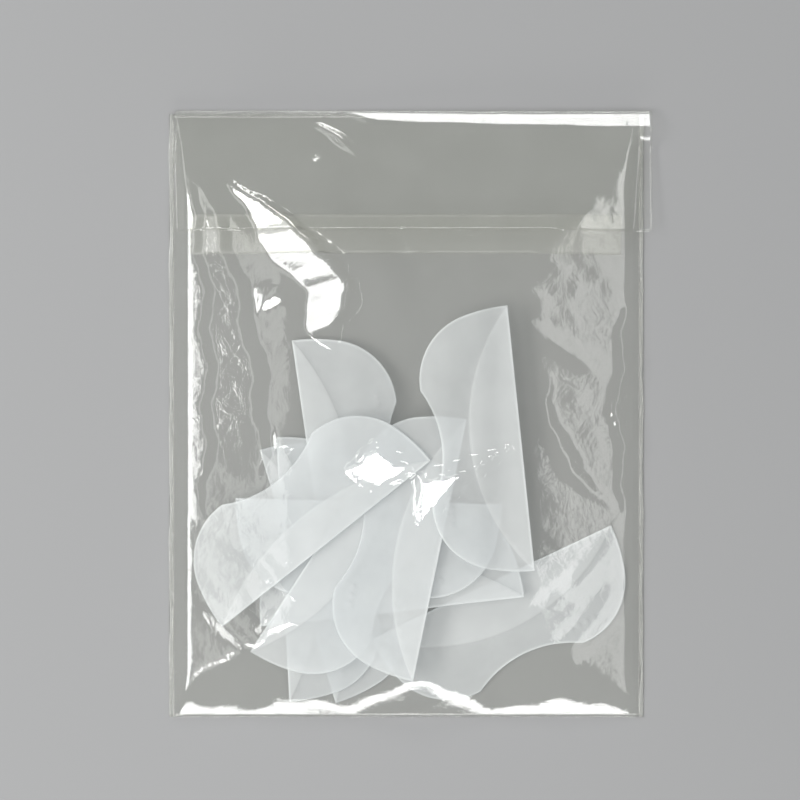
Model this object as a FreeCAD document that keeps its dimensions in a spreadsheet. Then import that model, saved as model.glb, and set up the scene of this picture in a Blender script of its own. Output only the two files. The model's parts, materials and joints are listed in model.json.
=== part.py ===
import FreeCAD
import Part
import Sketcher
import os

# A clear self-seal film bag, lying on its back, that holds ten flexible curve templates.
# +X runs across the bag, +Y from its bottom fold to its mouth, and +Z up, away from the back film.
# The origin is the middle of the back film's outer face. Everything is in millimetres and degrees.

# Driving dimensions. Each one becomes a cell of the sheet, under the same name.
SIZES = {
    # the film bag
    "film": 0.10,
    "bag_half_width": 35.0,
    "bottom": 44.5,
    "mouth": 44.3,
    "fold_radius": 0.2,
    "weld_width": 0.6,
    "weld_thickness": 0.12,
    # the front film's outside, from its foot on the back film, over a shoulder, to its flat top
    "foot_half_width": 34.4,
    "foot_bottom": 44.4,
    "shoulder_height": 5.0,
    "shoulder_half_width": 32.6,
    "shoulder_bottom": 42.6,
    "bag_height": 5.8,
    "top_half_width": 27.0,
    "top_bottom": 36.0,
    # the slope of the front film, from its flat top down to the mouth
    "slope_top": 22.0,
    "mouth_height": 0.35,
    # the flap, hinged just past the mouth, and the adhesive strip on the slope under its free edge
    "hinge_along": 44.6,
    "hinge_height": 0.25,
    "flap_nose_radius": 0.21,
    "flap_length": 18.3,
    "flap_half_width": 35.15,
    "flap_shift": 1.05,
    "strip_half_length": 31.5,
    "strip_near": 15.5,
    "strip_far": 21.5,
    "strip_thickness": 0.05,
    # the outline that all the curves share
    "curve_length": 39.0,
    "side_along": 1.1,
    "side_across": 7.2,
    "side_radius": 25.6,
    "kink_along": 11.2,
    "kink_across": 13.95,
    "lobe_radius": 9.9,
    "waist_radius": 16.25,
    "wing_thickness": 0.34,
    "roll_thickness": 0.44,
    # the radius of the arc over the thick segment, which is deeper the larger the size
    "roll_radius_1": 38.5,
    "roll_radius_2": 35.2,
    "roll_radius_3": 32.9,
    "roll_radius_4": 30.7,
    "roll_radius_5": 29.1,
    # the raised dots on one lobe, one for each step of size
    "dot_radius": 0.4,
    "dot_height": 0.07,
    "dot_pitch": 1.3,
    "half_dot_pitch": 0.65,
    "dots_along": 10.6,
    "dots_across": 11.3,
    # the pile, one curve on each level
    "pile_floor": 0.16,
    "level_step": 0.52,
}

# Each curve: name, size, level in the pile, and the place and heading of its starting corner.
CURVES = [
    ("curve_size2_b", 2, 0, -21.6, -5.2, -73.3),
    ("curve_size1_b", 1, 1, -19.1, -3.3, -87.2),
    ("curve_size5_b", 5, 2, 30.2, -16.3, -154.7),
    ("curve_size2_a", 2, 3, -16.8, 10.9, -81.8),
    ("curve_size4_b", 4, 4, -21.4, -31.1, 6.4),
    ("curve_size4_a", 4, 5, 14.0, -13.1, 178.7),
    ("curve_size3_a", 3, 6, -1.5, -1.9, -123.1),
    ("curve_size3_b", 3, 7, 1.0, -38.9, 78.4),
    ("curve_size1_a", 1, 8, -26.9, -31.0, 38.6),
    ("curve_size5_a", 5, 9, 18.8, -22.8, 95.9),
]

SLOPE_ANGLE = "atan((Sizes.bag_height - Sizes.mouth_height) / (Sizes.mouth - Sizes.slope_top))"
X_AXIS = FreeCAD.Vector(1, 0, 0)
Z_AXIS = FreeCAD.Vector(0, 0, 1)

doc = FreeCAD.newDocument("curve_template_set")


def fill_sheet():
    """Writes the driving dimensions and the curves' places into the sheet, each cell with an alias."""
    for name, _, _, along_x, along_y, heading in CURVES:
        SIZES[f"{name}_x"] = along_x
        SIZES[f"{name}_y"] = along_y
        SIZES[f"{name}_heading"] = heading
    sheet = doc.addObject("Spreadsheet::Sheet", "Sizes")
    for row, (name, value) in enumerate(SIZES.items(), start=1):
        sheet.set(f"A{row}", name)
        sheet.set(f"B{row}", str(value))
        sheet.setAlias(f"B{row}", name)
    doc.recompute()


def amount(words):
    """The value of a sum of named sizes, such as 'curve_length - kink_along'."""
    total = 0.0
    sign = 1
    for word in words.split():
        if word in ("+", "-"):
            sign = 1 if word == "+" else -1
        else:
            total += sign * (SIZES[word] if word in SIZES else float(word))
    return total


def formula(words):
    """The same sum as an expression that reads the sheet."""
    return " ".join(f"Sizes.{word}" if word in SIZES else word for word in words.split())


def new_body(name):
    body = doc.addObject("PartDesign::Body", name)
    body.Label = name
    return body


def new_sketch(body, name, plane, lift=None):
    """An empty sketch on one of the body's own origin planes, or lifted off it by a sum of sizes."""
    sketch = body.newObject("Sketcher::SketchObject", f"{body.Name}_{name}")
    origin_plane = next(f for f in body.Origin.OriginFeatures if f.Role == plane)
    sketch.AttachmentSupport = [(origin_plane, "")]
    sketch.MapMode = "FlatFace"
    if lift:
        sketch.setExpression("AttachmentOffset.Base.z", formula(lift))
    return sketch


def bind(sketch, kind, places, words):
    """Adds one dimension to the sketch and binds it to the sheet."""
    index = sketch.addConstraint(Sketcher.Constraint(kind, *places, amount(words)))
    sketch.setExpression(f"Constraints[{index}]", formula(words))


def draw_edge(sketch, start, finish, radius):
    """One edge of an outline, and the numbers of its two ends. A radius bulges the edge outwards, one
    with a minus sign in front hollows it, and None leaves it straight."""
    if radius is None:
        return sketch.addGeometry(Part.LineSegment(start, finish)), 1, 2
    chord = finish - start
    outward = FreeCAD.Vector(chord.y, -chord.x, 0).normalize()
    bend = amount(radius)
    rise = abs(bend) - (bend**2 - chord.Length**2 / 4) ** 0.5
    middle = (start + finish) / 2 + outward * (rise if bend > 0 else -rise)
    edge = sketch.addGeometry(Part.Arc(start, middle, finish))
    starts_here = sketch.getPoint(edge, 1).distanceToPoint(start) < rise / 2
    return (edge, 1, 2) if starts_here else (edge, 2, 1)


def draw_outline(sketch, corners, radii):
    """A closed outline, anticlockwise through the corners, with a radius or None for each edge."""
    points = [FreeCAD.Vector(amount(x), amount(y), 0) for x, y in corners]
    nexts = points[1:] + points[:1]
    edges = [draw_edge(sketch, *ends) for ends in zip(points, nexts, radii)]
    for (edge, _, last), (following, first, _) in zip(edges, edges[1:] + edges[:1]):
        sketch.addConstraint(Sketcher.Constraint("Coincident", edge, last, following, first))
    for (edge, first, _), (x, y), radius in zip(edges, corners, radii):
        bind(sketch, "DistanceX", (-1, 1, edge, first), x)
        bind(sketch, "DistanceY", (-1, 1, edge, first), y)
        if radius is not None:
            bind(sketch, "Radius", (edge,), radius.removeprefix("- "))


def draw_box(sketch, left, right, low, high):
    draw_outline(sketch, [(left, low), (right, low), (right, high), (left, high)], [None] * 4)


def draw_circle(sketch, x, y, radius):
    centre = FreeCAD.Vector(amount(x), amount(y), 0)
    circle = sketch.addGeometry(Part.Circle(centre, Z_AXIS, amount(radius)))
    bind(sketch, "DistanceX", (-1, 1, circle, 3), x)
    bind(sketch, "DistanceY", (-1, 1, circle, 3), y)
    bind(sketch, "Radius", (circle,), radius)


def pad(body, sketch, length, both_ways=False):
    feature = body.newObject("PartDesign::Pad", f"{sketch.Name}_pad")
    feature.Profile = sketch
    feature.SideType = "Symmetric" if both_ways else "One side"
    feature.setExpression("Length", formula(length))
    return feature


def plain_strip(name, plane, sides, thickness, lift=None, both_ways=False):
    """A body made of one rectangle pulled to a thickness."""
    body = new_body(name)
    sketch = new_sketch(body, "outline", plane, lift)
    draw_box(sketch, *sides)
    pad(body, sketch, thickness, both_ways)
    return body


def build_back_film():
    plain_strip("back_panel", "XY_Plane", ("- bag_half_width", "bag_half_width", "- bottom", "mouth"), "film")
    for name, left, right in (
        ("left_weld", "- bag_half_width", "weld_width - bag_half_width"),
        ("right_weld", "bag_half_width - weld_width", "bag_half_width"),
    ):
        plain_strip(name, "XY_Plane", (left, right, "- bottom", "mouth"), "weld_thickness", lift="film")


def build_bottom_fold():
    """The half-round edge where the back film turns up into the front film."""
    fold = doc.addObject("Part::Cylinder", "bottom_fold")
    fold.Label = "bottom_fold"
    fold.Angle = 180
    across, down, up = X_AXIS, FreeCAD.Vector(0, -1, 0), Z_AXIS
    fold.Placement.Rotation = FreeCAD.Rotation(up, down, across, "ZXY")
    fold.setExpression("Radius", "Sizes.fold_radius")
    fold.setExpression("Height", "2 * Sizes.bag_half_width")
    fold.setExpression("Placement.Base.x", "-Sizes.bag_half_width")
    fold.setExpression("Placement.Base.y", "-Sizes.bottom")
    fold.setExpression("Placement.Base.z", "Sizes.fold_radius")


def build_tent(name, inset):
    """The space under the front film as one solid: its side view pulled across the bag, then cut along
    both sides to its end view. The inset draws it in by a film's thickness."""
    body = new_body(name)
    side_view = new_sketch(body, "side_view", "YZ_Plane")
    draw_outline(
        side_view,
        [
            (f"{inset} - foot_bottom", "film"),
            ("mouth", "film"),
            ("mouth", f"mouth_height - {inset}"),
            ("slope_top", f"bag_height - {inset}"),
            (f"{inset} - top_bottom", f"bag_height - {inset}"),
            (f"{inset} - shoulder_bottom", f"shoulder_height - {inset}"),
        ],
        [None] * 6,
    )
    pad(body, side_view, "foot_half_width + foot_half_width", both_ways=True)
    end_view = new_sketch(body, "outside_end_view", "XZ_Plane")
    beside, above = "bag_half_width", "bag_height + film"
    right_side = [
        (f"foot_half_width - {inset}", "film"),
        (beside, "film"),
        (beside, above),
        (f"top_half_width - {inset}", above),
        (f"top_half_width - {inset}", f"bag_height - {inset}"),
        (f"shoulder_half_width - {inset}", f"shoulder_height - {inset}"),
    ]
    left_side = [(mirrored(x), z) for x, z in reversed(right_side)]
    draw_outline(end_view, right_side, [None] * 6)
    draw_outline(end_view, left_side, [None] * 6)
    cut = body.newObject("PartDesign::Pocket", f"{name}_sides")
    cut.Profile = end_view
    cut.SideType = "Symmetric"
    cut.Type = "ThroughAll"
    return body


def mirrored(words):
    """The sum with every sign turned round."""
    turned = {"+": "-", "-": "+"}
    flipped = " ".join(turned.get(word, word) for word in words.split())
    return f"- {flipped}"


def build_front_panel():
    """The front film: a thin tent, open at its foot and at the mouth."""
    front = doc.addObject("Part::Cut", "front_panel")
    front.Label = "front_panel"
    front.Base = build_tent("front_film_outside", "0")
    front.Tool = build_tent("front_film_inside", "film")


def lay_on_slope(body, x, y, z):
    """Leans a body back on the slope of the front film, about a line across the bag."""
    body.Placement.Rotation = FreeCAD.Rotation(X_AXIS, -1)
    body.setExpression("Placement.Rotation.Angle", f"-{SLOPE_ANGLE}")
    body.setExpression("Placement.Base.x", x)
    body.setExpression("Placement.Base.y", y)
    body.setExpression("Placement.Base.z", z)


def build_flap():
    """The flap: a flat film that lies on the slope, with a round nose on the line that it turns about."""
    inner_face = "flap_nose_radius - film"
    sides = ("- flap_length", "0", inner_face, "flap_nose_radius")
    flap = plain_strip("flap", "YZ_Plane", sides, "flap_half_width + flap_half_width", both_ways=True)
    nose = new_sketch(flap, "nose", "YZ_Plane")
    draw_circle(nose, "0", "0", "flap_nose_radius")
    pad(flap, nose, "flap_half_width + flap_half_width", both_ways=True)
    lay_on_slope(flap, "Sizes.flap_shift", "Sizes.hinge_along", "Sizes.hinge_height")


def build_adhesive_strip():
    sides = ("- strip_far", "- strip_near", "0", "strip_thickness")
    width = "strip_half_length + strip_half_length"
    strip = plain_strip("adhesive_strip", "YZ_Plane", sides, width, both_ways=True)
    lay_on_slope(strip, "0", "Sizes.mouth", "Sizes.mouth_height")


def build_curve(name, size, level):
    """One moulded curve: a thin wing with two lobes and a waist, a thicker segment along its straight
    base edge, and raised dots near its starting corner that show the size."""
    body = new_body(name)
    wing = new_sketch(body, "wing", "XY_Plane")
    draw_outline(
        wing,
        [
            ("0", "0"),
            ("curve_length", "0"),
            ("curve_length - side_along", "side_across"),
            ("curve_length - kink_along", "kink_across"),
            ("kink_along", "kink_across"),
            ("side_along", "side_across"),
        ],
        [None, "side_radius", "lobe_radius", "- waist_radius", "lobe_radius", "side_radius"],
    )
    pad(body, wing, "wing_thickness")
    roll = new_sketch(body, "roll", "XY_Plane")
    draw_outline(roll, [("0", "0"), ("curve_length", "0")], [None, f"roll_radius_{size}"])
    pad(body, roll, "roll_thickness")
    dots = new_sketch(body, "dots", "XY_Plane", lift="wing_thickness")
    for i in range(size):
        steps = " + dot_pitch" * i + " - half_dot_pitch" * (size - 1)
        draw_circle(dots, f"dots_along{steps}", "dots_across", "dot_radius")
    pad(body, dots, "dot_height")
    body.Placement.Rotation = FreeCAD.Rotation(Z_AXIS, 1)
    body.setExpression("Placement.Rotation.Angle", f"Sizes.{name}_heading")
    body.setExpression("Placement.Base.x", f"Sizes.{name}_x")
    body.setExpression("Placement.Base.y", f"Sizes.{name}_y")
    body.setExpression("Placement.Base.z", f"Sizes.pile_floor + {level} * Sizes.level_step")


def check(thing):
    """Stops if an object of the document failed to recompute."""
    if {"Invalid", "Error"} & set(thing.State):
        raise RuntimeError(f"{thing.Label} failed: {thing.State}")


def write_step(thing):
    """Writes one sub-part's file, once its shape is known to be whole."""
    shape = thing.Shape
    if shape.isNull() or not shape.isValid() or len(shape.Solids) != 1:
        raise RuntimeError(f"{thing.Label} is not one valid solid")
    shape.exportStep(f"parts/{thing.Label}.step")
    print(f"{thing.Label}: {shape.Volume:.2f} mm3, y up to {shape.BoundBox.YMax:.2f}")


fill_sheet()
build_back_film()
build_bottom_fold()
build_front_panel()
build_adhesive_strip()
build_flap()
for name, size, level, _, _, _ in CURVES:
    build_curve(name, size, level)
doc.recompute()
for thing in doc.Objects:
    check(thing)

BAG_PARTS = ["back_panel", "left_weld", "right_weld", "bottom_fold", "front_panel", "adhesive_strip", "flap"]
sub_parts = [doc.getObject(name) for name in BAG_PARTS + [curve[0] for curve in CURVES]]
os.makedirs("parts", exist_ok=True)
for thing in sub_parts:
    write_step(thing)
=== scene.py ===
import json
import math

import bpy
import numpy as np
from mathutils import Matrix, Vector
from mathutils.geometry import delaunay_2d_cdt

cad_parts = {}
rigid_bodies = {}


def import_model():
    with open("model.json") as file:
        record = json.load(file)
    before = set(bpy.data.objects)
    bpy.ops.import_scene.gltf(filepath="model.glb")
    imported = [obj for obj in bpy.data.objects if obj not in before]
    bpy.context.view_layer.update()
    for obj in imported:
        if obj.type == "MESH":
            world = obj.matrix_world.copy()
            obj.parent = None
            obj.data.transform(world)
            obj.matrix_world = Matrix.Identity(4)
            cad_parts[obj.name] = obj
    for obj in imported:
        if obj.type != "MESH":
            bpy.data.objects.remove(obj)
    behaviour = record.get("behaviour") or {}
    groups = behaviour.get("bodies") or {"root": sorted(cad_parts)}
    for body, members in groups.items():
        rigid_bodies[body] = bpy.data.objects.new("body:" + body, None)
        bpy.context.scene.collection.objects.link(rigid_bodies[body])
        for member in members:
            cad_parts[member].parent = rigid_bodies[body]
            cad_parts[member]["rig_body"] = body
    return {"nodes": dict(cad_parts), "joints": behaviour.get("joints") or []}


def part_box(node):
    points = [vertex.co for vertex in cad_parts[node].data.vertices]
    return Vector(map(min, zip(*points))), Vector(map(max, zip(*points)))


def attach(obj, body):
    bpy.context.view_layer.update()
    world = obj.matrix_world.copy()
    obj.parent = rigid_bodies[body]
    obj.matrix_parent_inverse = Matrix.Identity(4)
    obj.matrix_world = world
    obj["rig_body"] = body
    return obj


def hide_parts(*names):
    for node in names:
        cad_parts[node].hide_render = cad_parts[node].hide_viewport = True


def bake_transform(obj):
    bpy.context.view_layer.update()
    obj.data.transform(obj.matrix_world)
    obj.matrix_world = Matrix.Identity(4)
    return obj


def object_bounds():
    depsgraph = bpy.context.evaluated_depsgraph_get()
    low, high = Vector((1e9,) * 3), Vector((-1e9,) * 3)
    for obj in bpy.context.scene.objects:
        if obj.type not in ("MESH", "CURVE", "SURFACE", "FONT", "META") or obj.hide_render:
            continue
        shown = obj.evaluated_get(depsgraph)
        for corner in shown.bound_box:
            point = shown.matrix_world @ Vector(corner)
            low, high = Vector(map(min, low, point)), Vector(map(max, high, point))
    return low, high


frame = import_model()
CAD_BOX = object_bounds()

# A clear self-seal film bag lying on its back, with ten flexible frosted curve templates in a pile inside it.
# Shapes are worked out in millimetres and turned into metres as each mesh is made. +X is across the bag, +Y runs
# from its bottom fold to its mouth, and +Z is up.
MM = 0.001


def box_mm(node):
    """The lowest and highest corner of a CAD node, in millimetres."""
    low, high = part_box(node)
    return np.array(low) / MM, np.array(high) / MM


# ---------------------------------------------------------------- sizes that come from the frame
BACK_LOW, BACK_HIGH = box_mm("back_panel")
FRONT_LOW, FRONT_HIGH = box_mm("front_panel")
FLAP_LOW, FLAP_HIGH = box_mm("flap")
STRIP_LOW, STRIP_HIGH = box_mm("adhesive_strip")
FOLD_LOW, FOLD_HIGH = box_mm("bottom_fold")
HALF_WIDTH = BACK_HIGH[0]
BOTTOM = BACK_LOW[1]
MOUTH = BACK_HIGH[1]
TOP_Z = FRONT_HIGH[2]
TIP_X = min((v.co for v in frame["nodes"]["curve_size3_b"].data.vertices), key=lambda at: at.y).x / MM

# ---------------------------------------------------------------- sizes of the film
FILM = 0.08              # thickness of the drawn film
FILM_STEP = 0.5          # spacing of the film's mesh
MOUTH_Z = 0.3            # height of the front film's inside at the mouth
SLOPE_START = 22.0       # where the front film starts to come down to the mouth
SLOPE_LIFT = 0.1         # room over the moving curves at the slope and the top
SHOULDER_BLEND = 0.24    # how round the film is where one of its slopes turns into the next
PLEATS = [(0.5, 0.33, 0.2), (0.25, 0.9, 0.0)]    # waves along the bottom: height, pitch and shift
PLEAT_LENGTH = 5.0       # how far up from the bottom its pleats run out
TIP_REACH = 7.0          # how wide the film is held up by the curve whose tip is the lowest of the upper ones
TIP_SLOPE, TIP_LIFT = 0.14, 1.6
GAP = 0.1                # clear height between two films that lie on each other
ROLL_CREST = 2.2         # how far the flap still rises, at the right, after it has turned over at the mouth
ROLL_LEAN = 0.48         # how steeply it rises there
ROLL_BACK = 3.0          # how far it then takes to lie on the front film

# The slopes that the filled front film rises with: the edge it rises from, its height there, and its rise for each
# millimetre from the edge. The last two are the two along the bottom.
FILM_SLOPES = [
    ("left", 0.15, 1.3), ("left", 2.5, 0.19),
    ("right", 0.15, 1.1), ("right", 1.5, 0.26),
    ("bottom", 0.34, 0.66), ("bottom", 1.1, 0.36),
]


def smooth(t):
    """A smooth step from 0 to 1 as t goes from 0 to 1."""
    t = np.clip(t, 0, 1)
    return t * t * (3 - 2 * t)


def soft_least(heights, blend=SHOULDER_BLEND):
    """The least of several heights, rounded where one takes over from another."""
    return -blend * np.log(sum(np.exp(-height / blend) for height in heights))


def slope_height(y):
    """Height of the front film over the slope from the pile down to the mouth."""
    level = TOP_Z - FILM
    return MOUTH_Z + (MOUTH - y) * (level - MOUTH_Z) / (MOUTH - SLOPE_START) + SLOPE_LIFT


def envelope(x, y):
    """The smooth inside shape of the filled front film, with no crease in it."""
    from_edge = {"left": x + FRONT_HIGH[0], "right": FRONT_HIGH[0] - x, "bottom": y - BOTTOM}
    heights = [height + rise * from_edge[edge] for edge, height, rise in FILM_SLOPES]
    pleats = sum(high * np.sin(pitch * x + shift) for high, pitch, shift in PLEATS)
    pleats = pleats * np.exp(-from_edge["bottom"] / PLEAT_LENGTH)
    held_up = np.exp(-((x - TIP_X) / TIP_REACH) ** 2)
    heights[-2] = heights[-2] + TIP_SLOPE * held_up * from_edge["bottom"]
    heights[-1] = heights[-1] + TIP_LIFT * held_up + pleats
    heights += [slope_height(y), TOP_Z - FILM + 2 * SLOPE_LIFT]
    return soft_least(heights)


# ---------------------------------------------------------------- creases
def place(u, v):
    """A point of the bag, from -1 to 1 across it and from -1 (bottom fold) to 1 (mouth) along it."""
    middle = (BOTTOM + MOUTH) / 2
    half_length = (MOUTH - BOTTOM) / 2
    return np.array([u * HALF_WIDTH, middle + v * half_length])


def crease(x, y, start, end, height, left, right, taper=0.3):
    """A straight ridge from start to end. It falls to nothing over left and right millimetres on its two sides."""
    start, end = np.array(start), np.array(end)
    along = end - start
    length = np.hypot(*along)
    along = along / length
    t = ((x - start[0]) * along[0] + (y - start[1]) * along[1]) / length
    off = (y - start[1]) * along[0] - (x - start[0]) * along[1]
    flank = np.where(off > 0, 1 - off / left, 1 + off / right)
    ends = smooth(t / taper) * smooth((1 - t) / taper)
    return height * np.clip(flank, 0, 1) * ends


def eased(points, heights, passes=3):
    """A bent path with its corners cut, time after time, until it is a smooth curve."""
    path = np.column_stack([points, heights])
    for _ in range(passes):
        cut = np.stack([0.75 * path[:-1] + 0.25 * path[1:], 0.25 * path[:-1] + 0.75 * path[1:]], 1)
        path = np.concatenate([path[:1], cut.reshape(-1, 3), path[-1:]])
    return path[:, :2], path[:, 2]


def path_fold(x, y, points, heights, left, right):
    """A ridge along a bent path, with a height at each of its points. It falls with the slope left on the left of
    the way the points go, and right on the right."""
    total = np.zeros_like(x)
    for (start, end), (h0, h1) in zip(zip(points, points[1:]), zip(heights, heights[1:])):
        along = end - start
        length = np.hypot(*along)
        along = along / length
        t = np.clip(((x - start[0]) * along[0] + (y - start[1]) * along[1]) / length, 0, 1)
        off = (y - start[1]) * along[0] - (x - start[0]) * along[1]
        far = np.hypot(x - start[0] - t * along[0] * length, y - start[1] - t * along[1] * length)
        total = np.maximum(total, h0 + (h1 - h0) * t - far * np.where(off > 0, left, right))
    return total


def patch_distance(x, y, corners):
    """How far a point is outside a convex patch, whose corners go anticlockwise; negative inside it."""
    far = np.full(np.shape(x), -np.inf)
    for start, end in zip(corners, corners[1:] + corners[:1]):
        along = (end - start) / np.hypot(*(end - start))
        far = np.maximum(far, (x - start[0]) * along[1] - (y - start[1]) * along[0])
    return far


def random_creases(x, y, seed, count, region, length, height, width):
    """Many short creases at random places and headings within a region of the bag."""
    draw = np.random.default_rng(seed)
    (u0, v0), (u1, v1) = region
    total = np.zeros_like(x)
    for _ in range(count):
        middle = place(draw.uniform(u0, u1), draw.uniform(v0, v1))
        heading = draw.uniform(0, math.pi)
        half = draw.uniform(*length) / 2
        reach = half * np.array([math.cos(heading), math.sin(heading)])
        left, right = draw.uniform(*width, 2)
        total += crease(x, y, middle - reach, middle + reach, draw.uniform(*height), left, right, 0.45)
    return total


# The few large folds of the film. Points are fractions of the bag, as in place(), and the heights and slopes are of
# the ridge along them. A patch is a flat facet, whose corners go anticlockwise and which rises towards the mouth
# and the right.
RIDGES = [
    ([(-0.72, 0.77), (-0.46, 0.62), (-0.25, 0.47), (-0.262, 0.33)], [0.4, 2.5, 2.9, 2.4], 2.6, 0.46),
    ([(0.93, 0.35), (0.88, 0.05), (0.93, -0.35)], [0.3, 0.8, 0.2], 0.9, 0.5),
    ([(-0.95, 0.93), (-0.86, 0.55), (-0.83, 0.05), (-0.86, -0.35)], [0.1, 0.6, 0.7, 0.1], 0.34, 0.07),
    ([(-0.90, 0.90), (-0.70, 0.42), (-0.62, 0.02), (-0.60, -0.2)], [0.1, 0.5, 0.6, 0.1], 0.26, 0.06),
    ([(-0.37, 0.96), (-0.26, 0.90), (-0.14, 0.83)], [0.4, 0.7, 0.1], 0.9, 0.55),
    ([(-0.04, 0.65), (0.14, 0.45), (0.20, 0.20)], [0.1, 0.5, 0.1], 0.20, 0.16),
    ([(0.58, 0.14), (0.60, -0.12), (0.86, -0.30)], [0.1, 0.6, 0.1], 0.22, 0.30),
]
PATCHES = [
    [(-0.266, -0.182), (-0.117, -0.245), (0.028, -0.175), (-0.131, -0.106)],
    [(0.06, -0.205), (0.043, -0.376), (0.131, -0.30), (0.257, -0.182)],
]
PATCH_RISE = 0.20        # its slope
PATCH_LIFT = 0.05        # how far its lowest corner stands off the film
EDGE_HOLD = 0.5          # the width along the film's edges that no fold reaches
SMALL_CREASES = dict(seed=3, count=40, region=((-0.55, -0.5), (0.85, 0.85)), length=(6, 22),
                     height=(0.04, 0.15), width=(0.9, 3.5))
PATCH_EDGE = 1.2         # how steeply the film falls away round a patch
CALM = 4.0               # how far beyond a large fold the small creases come back
CALM_MOUTH = 12.0        # how far down from the mouth they are still growing
CALM_BOTTOM = 15.0       # and how far up from the bottom
CALM_SIDE = 16.0         # and how far in from the sides
CALM_BEND = 4.0          # and how far from the bend where the film starts to come down to the mouth
PILE_MIDDLE = -10.0      # the pile holds the film taut over it
PILE_REACH = (26.0, 24.0)
CALM_PILE = 0.65         # how much calmer the small creases are over the pile,
CALM_AT_BEND = 0.8       # and at that bend
CRUMPLE_SHARE = 0.6      # how much of the simulated crumple is kept
WANDER = 0.5             # how far the large folds wander from their straight paths


def front_height(x, y):
    """The inside height of the creased front film."""
    hold = smooth((HALF_WIDTH - EDGE_HOLD - np.abs(x)) / 2) * smooth((y - BOTTOM - EDGE_HOLD) / 2)
    large = np.zeros_like(x)
    busy = np.ones_like(x)
    wandered = x + WANDER * np.sin(0.55 * y + 1.1) + 0.3 * WANDER * np.sin(1.7 * y - 0.4 * x)
    for points, heights, left, right in RIDGES:
        points, heights = eased([place(*point) for point in points], heights)
        large = np.maximum(large, path_fold(wandered, y, points, heights, left, right))
        wider = path_fold(wandered, y, points, heights + right * CALM, left, right)
        busy = np.minimum(busy, 1 - smooth(wider / (right * CALM)))
    for corners in PATCHES:
        corners = [place(*corner) for corner in corners]
        far = patch_distance(x, y, corners) + 0.15 * np.sin(2.1 * x + 1.3 * y) + 0.1 * np.sin(3.7 * y - x)
        uphill = (x + y) / math.sqrt(2)
        lowest = min(corner @ (1, 1) for corner in corners) / math.sqrt(2)
        rise = PATCH_LIFT + PATCH_RISE * (uphill - lowest)
        large = np.maximum(large, rise - PATCH_EDGE * np.clip(far, 0, None))
        busy = np.minimum(busy, smooth(far / CALM))
    small = random_creases(x, y, **SMALL_CREASES)
    over_pile = smooth(1.4 - np.hypot(x / PILE_REACH[0], (y - PILE_MIDDLE) / PILE_REACH[1]))
    busy = busy * (1 - CALM_PILE * over_pile) * smooth((MOUTH + 0.5 - y) / CALM_MOUTH)
    busy = busy * (0.15 + 0.85 * smooth((y - BOTTOM - 2) / CALM_BOTTOM))
    busy = busy * smooth((HALF_WIDTH - 1 - np.abs(x)) / CALM_SIDE)
    busy = busy * (1 - CALM_AT_BEND * np.exp(-((y - SLOPE_START - 2) / CALM_BEND) ** 2))
    return envelope(x, y) + hold * (large + busy * small) + CRUMPLE_SHARE * busy * CRUMPLE(x, y)


# ---------------------------------------------------------------- meshes
def new_piece(name, points_mm, faces, smooth_faces=True):
    """A mesh object from points in millimetres."""
    mesh = bpy.data.meshes.new(name)
    mesh.from_pydata((np.asarray(points_mm) * MM).tolist(), [], faces)
    mesh.update()
    if smooth_faces:
        mesh.polygons.foreach_set("use_smooth", [True] * len(mesh.polygons))
    piece = bpy.data.objects.new(name, mesh)
    bpy.context.scene.collection.objects.link(piece)
    return piece


def thin_sheet(name, x, y, z, thickness=FILM):
    """A closed thin film over a grid of points: z is the height of its underside."""
    rows, columns = x.shape
    under = np.stack([x, y, z], -1).reshape(-1, 3)
    du = np.gradient(np.stack([x, y, z], -1), axis=1)
    dv = np.gradient(np.stack([x, y, z], -1), axis=0)
    normal = np.cross(du, dv)
    normal /= np.linalg.norm(normal, axis=-1, keepdims=True)
    over = under + normal.reshape(-1, 3) * thickness
    index = np.arange(rows * columns).reshape(rows, columns)
    a, b = index[:-1, :-1], index[:-1, 1:]
    c, d = index[1:, 1:], index[1:, :-1]
    top = np.stack([a, b, c, d], -1).reshape(-1, 4) + rows * columns
    low = np.stack([a, d, c, b], -1).reshape(-1, 4)
    ring = np.concatenate([index[0, :], index[1:, -1], index[-1, -2::-1], index[-2:0:-1, 0]])
    after = np.roll(ring, -1)
    wall = np.stack([ring, after, after + rows * columns, ring + rows * columns], -1)
    faces = np.concatenate([top, low, wall])
    if thickness < 0:
        faces = faces[:, ::-1]
    return new_piece(name, np.concatenate([under, over]), faces.tolist())


def grid(x_range, y_range, step=FILM_STEP):
    columns = int(round((x_range[1] - x_range[0]) / step)) + 1
    rows = int(round((y_range[1] - y_range[0]) / step)) + 1
    return np.meshgrid(np.linspace(*x_range, columns), np.linspace(*y_range, rows))


# ---------------------------------------------------------------- the crumpled film, by cloth simulation
SIM_SCALE = 0.1          # Blender metres for each millimetre in the simulation
SIM_STEP = 1.0           # spacing of the simulated film's points
SIM_FRAMES = 26
SPARE_FILM = 0.038       # how much longer the film is than the shape it lies on
MOST_CRUMPLE = 1.5       # how far it may stand off that shape


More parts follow.
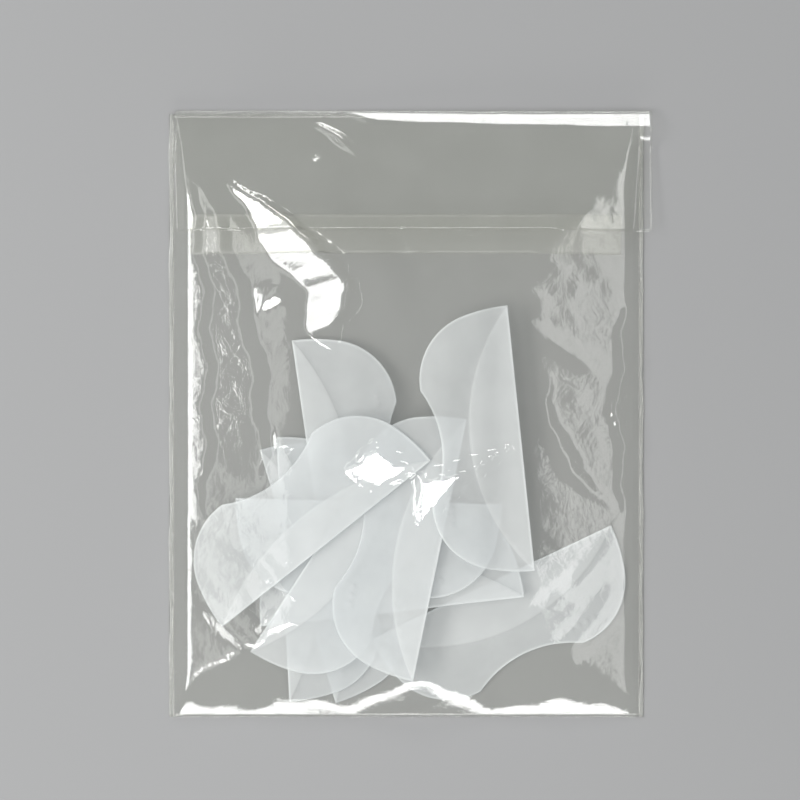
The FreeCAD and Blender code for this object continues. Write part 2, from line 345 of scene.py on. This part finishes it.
class Field:
    """Values on an even grid of points, read between the points along smooth cubic curves."""

    def __init__(self, x_range, y_range, values):
        self.x_range, self.y_range, self.values = x_range, y_range, values

    def __call__(self, x, y):
        rows, columns = self.values.shape
        across = (np.asarray(x) - self.x_range[0]) / (self.x_range[1] - self.x_range[0]) * (columns - 1)
        along = (np.asarray(y) - self.y_range[0]) / (self.y_range[1] - self.y_range[0]) * (rows - 1)
        across, along = np.broadcast_arrays(across, along)
        total = np.zeros(across.shape)
        first_column, first_row = np.floor(across).astype(int), np.floor(along).astype(int)
        for i in range(-1, 3):
            for j in range(-1, 3):
                weight = self.weight(across - first_column - i) * self.weight(along - first_row - j)
                row = np.clip(first_row + j, 0, rows - 1)
                column = np.clip(first_column + i, 0, columns - 1)
                total += weight * self.values[row, column]
        return total

    @staticmethod
    def weight(t):
        """The cubic B-spline."""
        t = np.abs(t)
        return np.where(t < 1, 2 / 3 - t ** 2 + t ** 3 / 2, np.clip(2 - t, 0, None) ** 3 / 6)


def simulate_crumple():
    """Lays a film that is a little too large over the filled shape, held at its edges, and returns how far its
    wrinkles stand off that shape."""
    x_range, y_range = (-HALF_WIDTH + 0.4, HALF_WIDTH - 0.4), (BOTTOM, MOUTH)
    x, y = grid(x_range, y_range, SIM_STEP)
    rest = envelope(x, y)
    draw = np.random.default_rng(5)
    scale = SIM_SCALE / MM
    index = np.arange(x.size).reshape(x.shape)
    faces = np.stack([index[:-1, :-1], index[:-1, 1:], index[1:, 1:], index[1:, :-1]], -1).reshape(-1, 4).tolist()

    def surface(name, height):
        return new_piece(name, np.stack([x, y, height], -1).reshape(-1, 3) * scale, faces)

    start = rest + 0.3 + 0.15 * draw.random(x.shape)
    start[0], start[-1], start[:, 0], start[:, -1] = rest[0], rest[-1], rest[:, 0], rest[:, -1]
    support = surface("support", rest - 0.05)
    support.modifiers.new("Collision", "COLLISION")
    support.collision.thickness_outer = 0.01
    support.collision.cloth_friction = 8
    film_cloth = surface("film_cloth", start)
    border = np.concatenate([index[0], index[-1], index[:, 0], index[:, -1]])
    held = film_cloth.vertex_groups.new(name="held")
    held.add(sorted(set(border.tolist())), 1.0, "REPLACE")
    cloth = film_cloth.modifiers.new("Cloth", "CLOTH")
    settings = cloth.settings
    settings.quality = 5
    settings.mass = 0.3
    settings.tension_stiffness = settings.compression_stiffness = 20
    settings.shear_stiffness = 10
    settings.bending_stiffness = 1.5
    settings.shrink_min = settings.shrink_max = -SPARE_FILM
    settings.vertex_group_mass = held.name
    cloth.collision_settings.distance_min = 0.01
    cloth.point_cache.frame_start, cloth.point_cache.frame_end = 1, SIM_FRAMES
    scene = bpy.context.scene
    for at in range(1, SIM_FRAMES + 1):
        scene.frame_set(at)
    settled = film_cloth.evaluated_get(bpy.context.evaluated_depsgraph_get()).to_mesh()
    height = np.array([v.co.z for v in settled.vertices]).reshape(x.shape) / SIM_SCALE
    for thing in (film_cloth, support):
        bpy.data.objects.remove(thing)
    scene.frame_set(1)
    return Field(x_range, y_range, np.clip(height - rest, 0, MOST_CRUMPLE))


# ---------------------------------------------------------------- the curves
CURVE_LENGTH = 39.0
CORNERS = [(0, 0), (39, 0), (37.9, 7.2), (27.8, 13.95), (11.2, 13.95), (1.1, 7.2)]
SIDE_RADIUS, LOBE_RADIUS, WAIST_RADIUS = 25.6, 9.9, -16.25
ROLL_RADIUS = {1: 38.5, 2: 35.2, 3: 32.9, 4: 30.7, 5: 29.1}
WING, ROLL = 0.34, 0.44
RIM_RADIUS = 0.12
RIM_RINGS = (0.0, 0.04, 0.12, 0.25, 0.42)
ROLL_STEP = 0.3          # width of the soft step up to the roll
DOT_RADIUS, DOT_HEIGHT, DOT_PITCH = 0.4, 0.07, 1.3
DOTS_AT = (10.6, 11.3)
ARC_STEP = 0.5
CLEARANCE = 0.1          # between a curve and the film over it
DROOP_BLEND = 0.08
SAG_GAP = 0.06           # between a curve that sags and what is under it
MOST_SAG = 1.6
SAG_REACH = 3.0          # how gently it bends
SAG_STEP = 0.25
CURVE_NODES = [node for node in sorted(frame["nodes"]) if node.startswith("curve_")]
INNER_STEP = 1.1


def arc(start, end, radius, step=ARC_STEP):
    """Points from start up to end on an arc that bulges to the right of the way it goes, or left if radius < 0."""
    start, end = np.array(start, float), np.array(end, float)
    chord = end - start
    length = np.hypot(*chord)
    left = np.array([-chord[1], chord[0]]) / length
    centre = (start + end) / 2 + left * math.copysign(math.sqrt(radius ** 2 - length ** 2 / 4), radius)
    first, last = (math.atan2(*(point - centre)[::-1]) for point in (start, end))
    turn = (last - first + math.pi) % (2 * math.pi) - math.pi
    count = max(2, int(abs(turn * radius) / step))
    angles = first + turn * np.arange(count) / count
    return centre + abs(radius) * np.stack([np.cos(angles), np.sin(angles)], -1)


def curve_outline():
    """The outline that all ten curves share, anticlockwise from the start of the base edge."""
    a, b, c, d, e, f = CORNERS
    base = np.stack([np.arange(0, CURVE_LENGTH, ARC_STEP), np.zeros(int(CURVE_LENGTH / ARC_STEP))], -1)
    return np.concatenate([
        base,
        arc(b, c, SIDE_RADIUS), arc(c, d, LOBE_RADIUS), arc(d, e, WAIST_RADIUS),
        arc(e, f, LOBE_RADIUS), arc(f, a, SIDE_RADIUS),
    ])


def edge_distance(points, outline):
    """How far each point is from a closed outline."""
    nearest = np.full(len(points), np.inf)
    for start, end in zip(outline, np.roll(outline, -1, axis=0)):
        along = end - start
        t = np.clip((points - start) @ along / (along @ along), 0, 1)
        nearest = np.minimum(nearest, np.linalg.norm(points - start - t[:, None] * along, axis=1))
    return nearest


def inside(points, outline):
    """Which points a closed outline holds, by counting crossings."""
    held = np.zeros(len(points), bool)
    x, y = points[:, 0], points[:, 1]
    for (x0, y0), (x1, y1) in zip(outline, np.roll(outline, -1, axis=0)):
        if y0 != y1:
            held ^= ((y0 > y) != (y1 > y)) & (x < (x1 - x0) * (y - y0) / (y1 - y0) + x0)
    return held


def inset(outline, amount):
    """The outline moved inwards."""
    ahead, behind = np.roll(outline, -1, axis=0), np.roll(outline, 1, axis=0)
    first = (outline - behind) / np.linalg.norm(outline - behind, axis=1, keepdims=True)
    second = (ahead - outline) / np.linalg.norm(ahead - outline, axis=1, keepdims=True)
    normal = np.stack([-(first + second)[:, 1], (first + second)[:, 0]], -1)
    normal /= np.linalg.norm(normal, axis=1, keepdims=True)
    miter = 1 / np.maximum(0.5, normal[:, 0] * -first[:, 1] + normal[:, 1] * first[:, 0])
    return outline + normal * (amount * miter)[:, None]


def roll_depth(points, size):
    """How far each point is inside the thick segment under the arc along the base edge."""
    radius = ROLL_RADIUS[size]
    centre = np.array([CURVE_LENGTH / 2, -math.sqrt(radius ** 2 - CURVE_LENGTH ** 2 / 4)])
    return radius - np.linalg.norm(points - centre, axis=1)


def dot_places(size):
    """The raised dots that mark the size: one row, as many as the size."""
    return [np.array(DOTS_AT) + [(i - (size - 1) / 2) * DOT_PITCH, 0] for i in range(size)]


def curve_plan(size):
    """Points and triangles of a curve's plan, with rings of points along its rim, its roll and its dots."""
    outline = curve_outline()
    rings = [inset(outline, amount) for amount in RIM_RINGS]
    radius = ROLL_RADIUS[size]
    low = math.sqrt(radius ** 2 - CURVE_LENGTH ** 2 / 4)
    reach = math.atan2(CURVE_LENGTH / 2, low)
    angles = np.linspace(-reach, reach, 84)
    for offset in (-ROLL_STEP / 2, 0, ROLL_STEP / 2):
        at = radius + offset
        rings.append(np.stack([CURVE_LENGTH / 2 + at * np.sin(angles), at * np.cos(angles) - low], -1))
    around = np.linspace(0, 2 * math.pi, 14, endpoint=False)
    circle = np.stack([np.cos(around), np.sin(around)], -1)
    dots = dot_places(size)
    for centre in dots:
        rings += [centre + circle * DOT_RADIUS * share for share in (1.1, 0.85, 0.5)]
        rings.append(centre[None, :])
    fixed = np.concatenate(rings)
    keep = np.ones(len(fixed), bool)
    first = len(outline) * len(RIM_RINGS)
    keep[first:] = inside(fixed[first:], outline) & (edge_distance(fixed[first:], outline) > RIM_RINGS[-1] + 0.1)
    fixed = fixed[keep]
    xs, ys = np.meshgrid(np.arange(0, CURVE_LENGTH, INNER_STEP), np.arange(0, 18, INNER_STEP * 0.866))
    xs = xs + (np.arange(len(xs)) % 2)[:, None] * INNER_STEP / 2
    loose = np.stack([xs.ravel(), ys.ravel()], -1)
    loose = loose[inside(loose, outline)]
    loose = loose[edge_distance(loose, outline) > RIM_RINGS[-1] + 0.4]
    loose = loose[np.abs(roll_depth(loose, size)) > ROLL_STEP]
    for centre in dots:
        loose = loose[np.linalg.norm(loose - centre, axis=1) > DOT_RADIUS + 0.3]
    points = np.concatenate([fixed, loose])
    ring = list(range(len(outline)))
    result = delaunay_2d_cdt([Vector(p) for p in points], [], [ring], 1, 1e-6)
    return np.array([tuple(p) for p in result[0]]), [list(face) for face in result[2]], outline


def curve_placing(node):
    """The start corner, heading and floor of a CAD curve. Its base corners are its two points furthest apart,
    and its lobes lie to the left of its heading."""
    vertices = frame["nodes"][node].data.vertices
    points = np.array([v.co for v in vertices]) / MM
    flat = points[:, :2]
    gaps = np.linalg.norm(flat[:, None] - flat[None], axis=-1)
    first, second = np.unravel_index(np.argmax(gaps), gaps.shape)
    start, end = flat[first], flat[second]
    lobes = flat.mean(0) - start
    along = end - start
    if along[0] * lobes[1] - along[1] * lobes[0] < 0:
        start, end = end, start
        along = -along
    return start, math.atan2(along[1], along[0]), points[:, 2].min()


def sag(node, x):
    """How far a curve sags onto whatever can lie or slide under it, which depends only on how far across the bag
    it is, because the curves slide along the bag."""
    low, high = box_mm(node)
    across = np.arange(low[0] - 2 * SAG_REACH, high[0] + 2 * SAG_REACH, SAG_STEP)
    under = np.full(len(across), BACK_HIGH[2])
    for other in CURVE_NODES:
        other_low, other_high = box_mm(other)
        if other_high[2] <= low[2]:
            covered = (across > other_low[0] - 0.5) & (across < other_high[0] + 0.5)
            under[covered] = np.maximum(under[covered], other_high[2])
    room = np.clip(low[2] - under - SAG_GAP, 0, MOST_SAG)
    reach = int(SAG_REACH / SAG_STEP)
    window = np.lib.stride_tricks.sliding_window_view
    least = window(np.pad(room, reach, mode="edge"), 2 * reach + 1).min(-1)
    weights = np.hanning(2 * reach + 3)[1:-1]
    eased = window(np.pad(least, reach, mode="edge"), 2 * reach + 1) @ (weights / weights.sum())
    return np.interp(x, across, eased)


def droop(x, y, top, travel):
    """How far a curve bends down so that it stays under the film, where it lies and wherever it slides to."""
    over = np.full(np.shape(x), -np.inf)
    for step in np.linspace(0, travel, 8):
        over = np.maximum(over, top + CLEARANCE - envelope(x, y + step))
    return DROOP_BLEND * np.log1p(np.exp(over / DROOP_BLEND))


def build_curve(node):
    """One moulded curve: a thin wing, a thicker roll under the arc, rounded rims and raised size dots."""
    size = int(node.removeprefix("curve_size")[0])
    plan, triangles, outline = curve_plan(size)
    start, heading, floor = curve_placing(node)
    rim = edge_distance(plan, outline)
    step = smooth(roll_depth(plan, size) / ROLL_STEP + 0.5)
    thick = WING + (ROLL - WING) * step
    for centre in dot_places(size):
        near = np.linalg.norm(plan - centre, axis=1) / DOT_RADIUS
        thick = thick + DOT_HEIGHT * np.sqrt(np.clip(1 - near ** 2, 0, 1))
    drop = RIM_RADIUS - np.sqrt(np.clip(RIM_RADIUS ** 2 - np.clip(RIM_RADIUS - rim, 0, None) ** 2, 0, None))
    turn = np.array([[math.cos(heading), math.sin(heading)], [-math.sin(heading), math.cos(heading)]])
    flat = plan @ turn + start
    slide = next(joint for joint in frame["joints"] if joint["child"] == frame["nodes"][node]["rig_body"])
    settled = sag(node, flat[:, 0])
    bend = settled + droop(flat[:, 0], flat[:, 1], floor + ROLL - settled, slide["range_m"][1] / MM)
    top = np.column_stack([flat, floor + thick - drop - bend])
    low = np.column_stack([flat, floor + drop - bend])
    count = len(plan)
    edge = outline_ring(triangles)
    faces = list(triangles)
    faces += [[i + count for i in reversed(face)] for face in triangles]
    faces += [[b, a, a + count, b + count] for a, b in edge]
    piece = new_piece(node.replace("curve_", "template_"), np.concatenate([top, low]), faces)
    # The rim mask carries the silicone's painted rim highlight; the roll mask marks the thicker segment.
    for name, values in (("rim", 1 - smooth(rim / RIM_RINGS[-1])), ("roll", step)):
        attribute = piece.data.attributes.new(name, "FLOAT", "POINT")
        attribute.data.foreach_set("value", np.tile(values, 2).astype(np.float32))
    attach(piece, frame["nodes"][node]["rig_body"])
    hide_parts(node)
    return piece


def outline_ring(triangles):
    """The directed edges that only one triangle uses."""
    used = {(a, b) for face in triangles for a, b in zip(face, face[1:] + face[:1])}
    return [edge for edge in used if edge[::-1] not in used]


# ---------------------------------------------------------------- materials
def new_material(name):
    made = bpy.data.materials.new(name)
    made.use_nodes = True
    made.node_tree.nodes.clear()
    return made


def add(made, kind, settings=None, **inputs):
    """A shader node with its settings and its inputs, which are values or other nodes' sockets."""
    node = made.node_tree.nodes.new(kind)
    for name, value in (settings or {}).items():
        setattr(node, name, value)
    for name, value in inputs.items():
        key = int(name[1:]) if name[0] == "i" and name[1:].isdigit() else name.replace("_", " ")
        if isinstance(value, bpy.types.NodeSocket):
            made.node_tree.links.new(value, node.inputs[key])
        else:
            node.inputs[key].default_value = value
    return node


def math_node(made, operation, a, b=0.0):
    return add(made, "ShaderNodeMath", {"operation": operation}, i0=a, i1=b).outputs[0]


def ramp(made, value, low, high, to_low=0.0, to_high=1.0):
    """Maps a value from one range to another, and holds it there."""
    return add(made, "ShaderNodeMapRange", {"clamp": True}, Value=value, From_Min=low, From_Max=high,
               To_Min=to_low, To_Max=to_high).outputs[0]


def noise(made, scale, detail=3.0, roughness=0.55, distortion=0.0):
    place_at = add(made, "ShaderNodeTexCoord").outputs["Object"]
    return add(made, "ShaderNodeTexNoise", Vector=place_at, Scale=scale, Detail=detail,
               Roughness=roughness, Distortion=distortion).outputs["Fac"]


def film_material(name, tint, haze, gloss_roughness, bump):
    """Clear glossy film: see-through, mirror-like at a glancing angle, with a trace of milky haze."""
    made = new_material(name)
    crinkle = noise(made, 420, 4, 0.6, 0.6)
    fine = noise(made, 1500, 2)
    height = math_node(made, "ADD", crinkle, math_node(made, "MULTIPLY", fine, 0.25))
    normal = add(made, "ShaderNodeBump", Strength=bump, Distance=0.0004, Height=height).outputs[0]
    clear = add(made, "ShaderNodeBsdfTransparent", Color=(*tint, 1)).outputs[0]
    gloss = add(made, "ShaderNodeBsdfAnisotropic", Color=(1, 1, 1, 1), Roughness=gloss_roughness,
                Normal=normal).outputs[0]
    milk = add(made, "ShaderNodeBsdfDiffuse", Color=(0.85, 0.86, 0.84, 1), Normal=normal).outputs[0]
    glance = add(made, "ShaderNodeLayerWeight", Blend=0.5, Normal=normal).outputs["Facing"]
    mirror = math_node(made, "MULTIPLY", math_node(made, "POWER", glance, 5.0), 0.85)
    mirror = math_node(made, "ADD", mirror, 0.045)
    cloud = ramp(made, noise(made, 130, 3), 0.35, 0.7, haze * 0.5, haze)
    body = add(made, "ShaderNodeMixShader", i0=cloud, i1=clear, i2=milk).outputs[0]
    surface = add(made, "ShaderNodeMixShader", i0=mirror, i1=body, i2=gloss).outputs[0]
    add(made, "ShaderNodeOutputMaterial", Surface=surface)
    return made


def silicone_material():
    """Frosted, faintly blue moulded silicone: denser in the roll. Along the rim it is painted lighter and denser, a
    painted highlight for the light that gathers in its rounded edge.
    """
    made = new_material("frosted_silicone")
    rim = add(made, "ShaderNodeAttribute", {"attribute_name": "rim"}).outputs["Fac"]
    roll = add(made, "ShaderNodeAttribute", {"attribute_name": "roll"}).outputs["Fac"]
    cloud = noise(made, 160, 3)
    grain = noise(made, 9000, 2)
    dense = ramp(made, cloud, 0.3, 0.7, 0.29, 0.35)
    dense = math_node(made, "ADD", dense, math_node(made, "MULTIPLY", roll, 0.12))
    # Painted highlight: the rim is made denser, and so whiter, in patches, for the light gathering in the rounded
    # edge.
    painted_rim_highlight = math_node(made, "MULTIPLY", rim, ramp(made, noise(made, 70, 2), 0.4, 0.65, 0.02, 0.24))
    dense = math_node(made, "ADD", dense, painted_rim_highlight)
    normal = add(made, "ShaderNodeBump", Strength=0.25, Distance=0.00005, Height=grain).outputs[0]
    # Painted highlight: the colour along the rim is lighter than the body's.
    tone = add(made, "ShaderNodeMix", {"data_type": "RGBA"}, i0=rim, i6=(0.895, 0.905, 0.915, 1),
               i7=(0.96, 0.98, 0.99, 1)).outputs[2]
    rough = ramp(made, grain, 0.3, 0.7, 0.38, 0.55)
    skin = add(made, "ShaderNodeBsdfPrincipled", Base_Color=tone, Roughness=rough, IOR=1.41,
               Normal=normal).outputs[0]
    clear = add(made, "ShaderNodeBsdfTransparent", Color=(0.97, 0.98, 0.985, 1)).outputs[0]
    surface = add(made, "ShaderNodeMixShader", i0=dense, i1=clear, i2=skin).outputs[0]
    add(made, "ShaderNodeOutputMaterial", Surface=surface)
    return made


def floor_material():
    made = new_material("studio_floor")
    tone = ramp(made, noise(made, 3, 2), 0.3, 0.7, 0.315, 0.33)
    colour = add(made, "ShaderNodeCombineColor", Red=tone, Green=tone, Blue=tone).outputs[0]
    surface = add(made, "ShaderNodeBsdfPrincipled", Base_Color=colour, Roughness=0.85).outputs[0]
    add(made, "ShaderNodeOutputMaterial", Surface=surface)
    return made


def finish_piece(piece, made):
    piece.data.materials.append(made)
    return piece


# ---------------------------------------------------------------- the bag's film
BACK_FLOOR, BACK_FILM, BACK_STEP = 0.02, 0.07, 1.0
STRIP_GAP, STRIP_FILM = 0.03, 0.04
WELD_MIDDLE, WELD_HEIGHT = 0.3, 0.13     # how far in from the bag's edge, and how high, the bead's middle is
WELD_HALF_WIDTH, WELD_HALF_HEIGHT = 0.26, 0.11
WELD_RINGS, WELD_SIDES = 240, 10
BEND_FILM = 0.06                         # the film is drawn thinner where it is bent sharply
FLAP_START = 0.05                        # how far past the mouth, and how high, the flap leaves the back film
FLAP_LIFT = 0.25                         # how far its free edge stands off the mouth's height at least
ROLL_THIN, ROLL_FAT = 0.17, 0.42         # the roll's radius at the left, and what is added to it at the right


def build_front_film(made):
    x, y = grid((-HALF_WIDTH + 0.4, HALF_WIDTH - 0.4), (BOTTOM, MOUTH))
    piece = thin_sheet("front_film", x, y, front_height(x, y))
    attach(piece, "bag")
    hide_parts("front_panel")
    finish_piece(piece, made)
    return piece


def build_back_film(made):
    x, y = grid((-HALF_WIDTH, HALF_WIDTH), (BOTTOM, MOUTH), BACK_STEP)
    piece = thin_sheet("back_film", x, y, np.full(x.shape, BACK_FLOOR), BACK_FILM)
    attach(piece, "bag")
    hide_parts("back_panel")
    finish_piece(piece, made)
    return piece


def build_strip(made):
    """The double-sided adhesive strip on the front film, half of it under the flap's free edge."""
    x, y = grid((STRIP_LOW[0], STRIP_HIGH[0]), (STRIP_LOW[1], STRIP_HIGH[1]))
    piece = thin_sheet("adhesive_band", x, y, front_height(x, y) + FILM + STRIP_GAP, STRIP_FILM)
    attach(piece, "bag")
    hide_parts("adhesive_strip")
    return finish_piece(piece, made)


def build_weld(side, made):
    """A side weld: a narrow glossy bead where both films are fused and cut, never quite straight."""
    name = f"{side}_weld"
    sign = -1 if side == "left" else 1
    y = np.linspace(BOTTOM, MOUTH, WELD_RINGS)
    count = WELD_SIDES
    around = np.linspace(0, 2 * math.pi, count, endpoint=False)
    middle = sign * (HALF_WIDTH - WELD_MIDDLE) + 0.05 * np.sin(y / 3.1 + sign) + 0.04 * np.sin(y / 1.3)
    across = WELD_HALF_WIDTH + 0.05 * np.sin(y / 2.3 + 2 * sign)
    z = WELD_HEIGHT + WELD_HALF_HEIGHT * np.sin(around)
    rings = [np.column_stack([m + a * np.cos(around), np.full(count, at), z]) for m, a, at in zip(middle, across, y)]
    faces = [[r * count + i, r * count + (i + 1) % count, (r + 1) * count + (i + 1) % count,
              (r + 1) * count + i] for r in range(len(rings) - 1) for i in range(count)]
    faces += [list(range(count))[::-1], [(len(rings) - 1) * count + i for i in range(count)]]
    piece = new_piece(f"{side}_side_weld", np.concatenate(rings), faces)
    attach(piece, "bag")
    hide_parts(name)
    return finish_piece(piece, made)


def build_bottom_fold(made):
    """The bend at the bottom, where the back film turns into the front film."""
    turn, x = np.meshgrid(np.linspace(-math.pi / 2, math.pi / 2, 9), np.linspace(-HALF_WIDTH, HALF_WIDTH, 141),
                          indexing="ij")
    radius = (FOLD_HIGH[2] - FOLD_LOW[2]) / 2 - BACK_FLOOR
    y = FOLD_HIGH[1] - radius * np.cos(turn)
    z = radius + BACK_FLOOR + radius * np.sin(turn)
    piece = thin_sheet("bottom_bend", x, y, z, -BEND_FILM)
    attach(piece, "bag")
    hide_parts("bottom_fold")
    return finish_piece(piece, made)


def build_flap(made):
    """The flap: it leaves the back film at the mouth, turns over in a roll that is fatter to the right, and lies on
    the front film."""
    columns = np.linspace(FLAP_LOW[0], FLAP_HIGH[0], 142)
    share = (columns - FLAP_LOW[0]) / (FLAP_HIGH[0] - FLAP_LOW[0])
    radius = ROLL_THIN + ROLL_FAT * smooth((share - 0.2) / 0.5) + 0.02 * np.sin(columns * 0.7)
    band = 0.05 + ROLL_CREST * smooth((share - 0.34) / 0.1) * (0.35 + 0.65 * share)
    turn = np.linspace(-math.pi / 2, math.pi / 2, 11)[:, None]
    nose = FLAP_HIGH[1] - radius
    start_y = np.full((1, len(columns)), MOUTH + FLAP_START)
    bend_y = nose + radius * np.cos(turn)
    bend_z = FLAP_START + radius + radius * np.sin(turn)
    rest = np.linspace(0, 1, 46)[1:, None] ** 1.5
    lie_y = nose + (FLAP_LOW[1] - nose) * rest
    x = np.tile(columns, (1 + len(turn) + len(rest), 1))
    over = front_height(x[-len(rest):], np.minimum(lie_y, MOUTH)) + FILM + GAP
    edge_lift = FLAP_LIFT + 0.3 * (slope_height(lie_y) - MOUTH_Z)
    lie_z = np.maximum(over, edge_lift)
    fall = nose - lie_y
    crest = FLAP_START + 2 * radius + np.minimum(fall, band) * ROLL_LEAN
    lie_z = lie_z + np.clip(crest - lie_z, 0, None) * smooth(1 - (fall - band) / ROLL_BACK)
    y = np.concatenate([start_y, bend_y, lie_y])
    z = np.concatenate([np.full((1, len(columns)), FLAP_START), bend_z, lie_z])
    piece = thin_sheet("flap_film", x, y, z, -BEND_FILM)
    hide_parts("flap")
    finish_piece(piece, made)
    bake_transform(piece)
    return piece


# ---------------------------------------------------------------- the studio
# Each light's name, azimuth and angle from overhead in degrees, width and depth in metres, and radiance.
LIGHTS = [
    ("left_softbox", 180, 46, 0.9, 0.2, 1.5),
    ("fold_softbox", 188, 47, 0.6, 0.32, 7),
    ("top_softbox", 90, 60, 0.3, 0.14, 8),
    ("bottom_softbox", -90, 74, 0.5, 0.16, 9),
    ("right_card", 0, 40, 0.8, 0.15, 1.8),
    ("left_card", 180, 24, 0.8, 0.12, 1.2),
    ("high_card", -133, 24.4, 0.13, 0.13, 16),
]
LIGHT_DISTANCE = 0.8
FLOOR_HALF, FLOOR_Z = 2500, -0.05        # millimetres
CAMERA_SHIFT = (-0.0015, 0.0021)         # the camera stands nearly over the bag's middle, in metres
CAMERA_HEIGHT = 0.328


def softbox(name, azimuth, from_overhead, across, deep, radiance):
    """A rectangular light that looks at the bag. Its power follows from how bright its face is."""
    light = bpy.data.lights.new(name, "AREA")
    light.shape = "RECTANGLE"
    light.size, light.size_y = across, deep
    light.energy = radiance * math.pi * across * deep
    lamp = bpy.data.objects.new(name, light)
    a, b = math.radians(azimuth), math.radians(from_overhead)
    lamp.location = LIGHT_DISTANCE * Vector((math.sin(b) * math.cos(a), math.sin(b) * math.sin(a), math.cos(b)))
    lamp.rotation_euler = lamp.location.to_track_quat("Z", "Y").to_euler()
    lamp.visible_camera = False
    bpy.context.scene.collection.objects.link(lamp)
    return lamp


def build_studio():
    scene = bpy.context.scene
    corners = [(a * FLOOR_HALF, b * FLOOR_HALF, FLOOR_Z) for a, b in ((-1, -1), (1, -1), (1, 1), (-1, 1))]
    floor = new_piece("studio_floor", corners, [[0, 1, 2, 3]], False)
    floor.data.materials.append(floor_material())
    for lamp in LIGHTS:
        softbox(*lamp)
    world = bpy.data.worlds.new("studio_world")
    world.use_nodes = True
    world.node_tree.nodes["Background"].inputs["Color"].default_value = (0.95, 0.975, 1.0, 1)
    world.node_tree.nodes["Background"].inputs["Strength"].default_value = 0.38
    scene.world = world
    scene.view_settings.view_transform = "Standard"
    scene.cycles.transparent_max_bounces = 48
    lens = bpy.data.cameras.new("camera")
    lens.lens, lens.sensor_width = 100, 36
    lens.clip_start, lens.clip_end = 0.01, 20
    camera = bpy.data.objects.new("camera", lens)
    low, high = CAD_BOX
    middle = (Vector(low) + Vector(high)) / 2
    camera.location = (middle.x + CAMERA_SHIFT[0], middle.y + CAMERA_SHIFT[1], CAMERA_HEIGHT)
    scene.collection.objects.link(camera)
    scene.camera = camera


build_studio()
CRUMPLE = simulate_crumple()
film = film_material("clear_film", (0.992, 0.993, 0.985), 0.02, 0.07, 0.12)
weld = film_material("film_weld", (0.95, 0.95, 0.93), 0.25, 0.2, 0.3)
adhesive = film_material("adhesive_film", (0.99, 0.99, 0.975), 0.03, 0.25, 0.15)
silicone = silicone_material()
for node in CURVE_NODES:
    build_curve(node).data.materials.append(silicone)
build_front_film(film)
build_back_film(film)
build_bottom_fold(film)
build_strip(adhesive)
build_weld("left", weld)
build_weld("right", weld)
build_flap(film)
